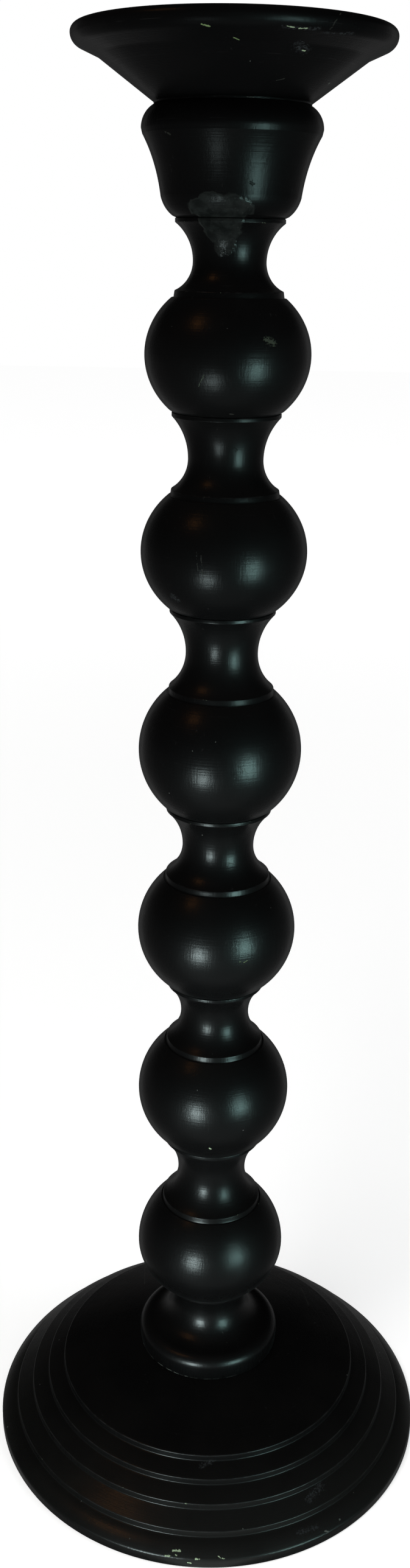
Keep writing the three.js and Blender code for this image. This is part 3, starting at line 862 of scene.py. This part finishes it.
def dusty_paint(nodes, place, radius, patches):
    """Two shades of black, with dust on what faces up and on the outer treads, and pale specks."""
    colour = nodes.mix(patches, PAINT_DARK, PAINT_PALE)
    facing = nodes.put("ShaderNodeSeparateXYZ", {0: nodes.put("ShaderNodeNewGeometry").outputs["Normal"]})
    settled = nodes.ramp(facing.outputs["Z"], 0.35, 0.95)
    settled = nodes.math("MULTIPLY", settled, nodes.ramp(patches, 0.35, 0.75, 0.15, 0.6))
    colour = nodes.mix(settled, colour, SETTLED_DUST)
    outer = nodes.ramp(radius, DUSTY_FROM * MM, BASE_RADIUS * MM)
    outer = nodes.math("MULTIPLY", outer, nodes.ramp(patches, 0.2, 0.6, 0.5, 1.0))
    colour = nodes.mix(outer, colour, TREAD_DUST)
    cells = nodes.put("ShaderNodeTexVoronoi", {"Vector": place, "Scale": SPECKS, "Randomness": 1.0})
    chance = nodes.put("ShaderNodeSeparateColor", {0: cells.outputs["Color"]})
    speck_size = nodes.math("MULTIPLY", nodes.ramp(chance.outputs[0], 0.80, 1.0), 0.045)
    speck = nodes.math("LESS_THAN", cells.outputs["Distance"], speck_size)
    return nodes.mix(nodes.math("MULTIPLY", speck, 0.5), colour, PALE_SPECK)


def hairlines(nodes, place, lines):
    """1 on the hairline scratches, which run up and down or round the turning, here and there."""
    upright = nodes.noise(nodes.vector("MULTIPLY", place, HAIRS_DRAWN), HAIRS, 2, 0.7)
    here = nodes.ramp(nodes.noise(place, 70, 2), 0.5, 0.65)
    upright = nodes.math("MULTIPLY", nodes.ramp(upright, 0.66, 0.74), here)
    here = nodes.ramp(nodes.noise(place, 90, 2), 0.5, 0.62)
    return nodes.math("MAXIMUM", upright, nodes.math("MULTIPLY", nodes.ramp(lines, 0.64, 0.72), here))


def worn_arrises(nodes, place):
    """Where arrises are rubbed thin, and the few places on them where the pale ground shows."""
    arris = nodes.put("ShaderNodeAttribute", attribute_name="arris").outputs["Fac"]
    here = nodes.ramp(nodes.noise(place, 160, 4, 0.65), 0.42, 0.62)
    rubbed = nodes.math("MULTIPLY", nodes.ramp(arris, 0.25, 0.9), here)
    here = nodes.ramp(nodes.noise(place, 230, 4, 0.7), 0.665, 0.70)
    return rubbed, nodes.math("MULTIPLY", nodes.ramp(arris, 0.3, 0.8), here)


def marked(nodes, place, outline, wear, bare, coat):
    """The marks of wear, and the painted glints of the speck kind, over the paint. Arrises worn bare look
    like chips.
    """
    colour, rough, normal = coat
    ragged = nodes.math("MULTIPLY_ADD", nodes.noise(place, RAGGED_EDGES, 3, 0.7), 4.4, -2.0)
    for kind, tint, depth in MARK_LOOKS:
        found = marks_of(nodes, place, ragged, outline, wear, kind)
        if kind == "chip":
            found = bare if found == 0.0 else nodes.math("MAXIMUM", found, bare)
        if found == 0.0:
            continue
        if kind == "scuff":
            worn = nodes.ramp(nodes.noise(place, 900, 4, 0.7), 0.40, 0.62)
            found = nodes.math("MULTIPLY", found, worn)
        # For the speck kind this colour is a painted glint
        colour = nodes.mix(found, colour, tint)
        rough = nodes.math("MULTIPLY_ADD", found, MARK_ROUGHNESS, rough)
        normal = nodes.bump(nodes.math("SUBTRACT", 1.0, found), depth, normal)
    return colour, rough, normal


def paint_material(name, outline, wear, gloss, waxed):
    """Satin black paint over turned wood, with its turning lines, scratches, specks, wear and marks; a few
    marks and the wax add painted glints.
    """
    material, nodes, place = new_material(name)
    parts = nodes.put("ShaderNodeSeparateXYZ", {0: place})
    height = parts.outputs["Z"]
    flat = nodes.put("ShaderNodeCombineXYZ", {"X": parts.outputs["X"], "Y": parts.outputs["Y"]})
    radius = nodes.vector("LENGTH", flat.outputs[0])
    profile = nodes.put("ShaderNodeCombineXYZ", {"X": radius, "Z": height}).outputs[0]

    patches = nodes.noise(place, PATCHES, 3)
    grain = nodes.noise(nodes.vector("MULTIPLY", place, GRAIN_DRAWN), GRAIN, 3, 0.6)
    lines = nodes.noise(profile, LINES, 3, 0.6)
    hair = hairlines(nodes, place, lines)
    rubbed, bare = worn_arrises(nodes, place)

    colour = dusty_paint(nodes, place, radius, patches)
    colour = nodes.mix(nodes.math("MULTIPLY", hair, 0.30), colour, HAIRLINE)
    colour = nodes.mix(nodes.math("MULTIPLY", rubbed, 0.55), colour, RUBBED_PAINT)

    rough = nodes.math("MULTIPLY_ADD", patches, PATCH_ROUGHNESS, PAINT_ROUGHNESS)
    rough = nodes.math("MULTIPLY_ADD", grain, GRAIN_ROUGHNESS, rough)
    rough = nodes.math("MULTIPLY_ADD", rubbed, RUBBED_ROUGHNESS, rough)

    normal = nodes.bump(nodes.noise(place, WAVES, 2), WAVE_DEPTH)
    normal = nodes.bump(lines, LINE_DEPTH, normal)
    normal = nodes.bump(grain, GRAIN_DEPTH, normal)
    normal = nodes.bump(nodes.noise(place, PEEL, 2), PEEL_DEPTH, normal)
    normal = nodes.bump(nodes.math("SUBTRACT", 1.0, hair), HAIR_DEPTH, normal)

    coat = (colour, rough, normal)
    # The wax paints glints, and a highlight along its rim, into the colour
    if waxed:
        coat = wax_coat(nodes, place, height, patches, coat)
    colour, rough, normal = marked(nodes, place, outline, wear, bare, coat)

    # Towards grazing angles the satin surface scatters what it mirrors
    facing = nodes.put("ShaderNodeLayerWeight", {"Blend": 0.5}).outputs["Facing"]
    rough = nodes.math("MAXIMUM", rough, nodes.ramp(facing, 0.60, 0.95, *GRAZING_ROUGHNESS))
    finish = {"Specular IOR Level": gloss, "Coat Weight": COAT_WEIGHT, "Coat Roughness": COAT_ROUGHNESS}
    nodes.paint(colour, rough, normal, finish)
    return material


def metal_material(name, dark, light, roughness, metallic, specular):
    """Metal in two shades, with faint brushing and stains."""
    brush_depth, dent_depth = 0.00002, 0.00003
    material, nodes, place = new_material(name)
    stains = nodes.noise(place, 130, 4, 0.6)
    brush = nodes.noise(nodes.vector("MULTIPLY", place, (1, 1, 0.2)), 2600, 3, 0.6)
    rough = nodes.math("MULTIPLY_ADD", stains, 0.18, roughness - 0.09)
    normal = nodes.bump(brush, brush_depth)
    normal = nodes.bump(nodes.noise(place, 900, 3), dent_depth, normal)
    finish = {"Metallic": metallic, "Specular IOR Level": specular}
    nodes.paint(nodes.mix(stains, dark, light), rough, normal, finish)
    return material


def iron_material():
    """Iron under its black oxide, which is matt and hides the metal."""
    dark, light = (0.007, 0.007, 0.0075), (0.018, 0.0165, 0.0155)
    return metal_material("blackened_iron", dark, light, roughness=0.5, metallic=0.0, specular=0.02)


def zinc_material():
    """Bright zinc plate."""
    dark, light = (0.42, 0.43, 0.44), (0.60, 0.61, 0.62)
    return metal_material("zinc_plate", dark, light, roughness=0.36, metallic=1.0, specular=0.5)


def beech_material():
    """Bare beech with its fine upright grain and short dark flecks."""
    pale, dark, fleck = (0.60, 0.38, 0.20), (0.42, 0.25, 0.12), (0.24, 0.12, 0.05)
    pore_depth = 0.00006
    material, nodes, place = new_material("bare_beech")
    along = nodes.vector("MULTIPLY", place, (1, 1, 0.05))
    bands = nodes.noise(along, 260, 3, 0.6)
    flecks = nodes.ramp(nodes.noise(nodes.vector("MULTIPLY", place, (1, 1, 0.2)), 1500, 2), 0.62, 0.70)
    colour = nodes.mix(bands, pale, dark)
    colour = nodes.mix(nodes.math("MULTIPLY", flecks, 0.6), colour, fleck)
    rough = nodes.math("MULTIPLY_ADD", bands, 0.15, 0.6)
    nodes.paint(colour, rough, nodes.bump(nodes.noise(along, 1400, 3), pore_depth))
    return material


def felt_material():
    """Pressed wool felt, dark green, with its short tangled fibres."""
    dark, light, clump = (0.010, 0.028, 0.016), (0.032, 0.075, 0.045), (0.014, 0.040, 0.024)
    nap_depth = 0.0005
    material, nodes, place = new_material("wool_felt")
    fibres = nodes.noise(nodes.vector("MULTIPLY", place, (1, 0.4, 1)), 1900, 5, 0.75)
    clumps = nodes.noise(place, 210, 3)
    colour = nodes.mix(fibres, dark, light)
    colour = nodes.mix(nodes.ramp(clumps, 0.3, 0.8, 0.0, 0.5), colour, clump)
    rough = nodes.math("MULTIPLY_ADD", fibres, 0.1, 0.88)
    normal = nodes.bump(nodes.math("MULTIPLY_ADD", fibres, 0.7, clumps), nap_depth)
    nodes.paint(colour, rough, normal, {"Sheen Weight": 0.35, "Sheen Roughness": 0.5})
    return material


def painted(name, node, outline, wear, gloss, segments=STEM_SEGMENTS, waxed=False):
    """A turning in black paint, with its marks of wear and any painted glints."""
    material = paint_material(name + "_paint", outline, wear, gloss, waxed)
    turned(name, outline, node, material, segments)


def add_turnings():
    """The black turnings, from the base up."""
    painted("base_turning", "base_disc", base_outline(), BASE_WEAR, BASE_GLOSS, BASE_SEGMENTS)
    painted("foot_turning", "foot", foot_outline(), FOOT_WEAR, FOOT_GLOSS)
    joint_height, joint_radius = STEM_SEAT, FOOT_SHOULDER_RADIUS
    for number, (size, wear, gloss) in enumerate(zip(BOBBINS, BOBBIN_WEAR, BOBBIN_GLOSS), 1):
        outline = bobbin_outline(size, joint_radius, joint_height)
        top_one = number == len(BOBBINS)
        painted(f"bobbin_turning_{number}", f"bobbin_{number}", outline, wear, gloss, waxed=top_one)
        joint_height += size["ball_height"] + size["neck_height"]
        joint_radius = size["shoulder"]
    painted("cup_turning", "candle_cup", cup_outline(joint_radius), CUP_WEAR, CUP_GLOSS, waxed=True)
    painted("pan_turning", "drip_pan", pan_outline(), PAN_WEAR, PAN_GLOSS, PAN_SEGMENTS)


def dress_nodes(material, *names):
    """Gives CAD nodes whose shape is right their finish."""
    for name in names:
        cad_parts[name].material_slots[0].material = material


place_camera()
for lamp in LAMPS:
    area_lamp(**lamp)
light_world()
lay_floor()
add_turnings()

iron = iron_material()
turned("felt_turning", felt_outline(), "base_felt", felt_material(), BASE_SEGMENTS)
turned("spike_turning", spike_outline(), "pricket_spike", iron, SPIKE_SEGMENTS)
dress_nodes(iron, "candle_plate", "plate_screw_1", "plate_screw_2", "plate_screw_3")
dress_nodes(zinc_material(), "base_screw", "base_washer", "pan_screw_1", "pan_screw_2")
dress_nodes(beech_material(), *(f"dowel_{number}" for number in range(1, len(BOBBINS) + 2)))

bpy.context.scene.view_settings.view_transform = "Standard"
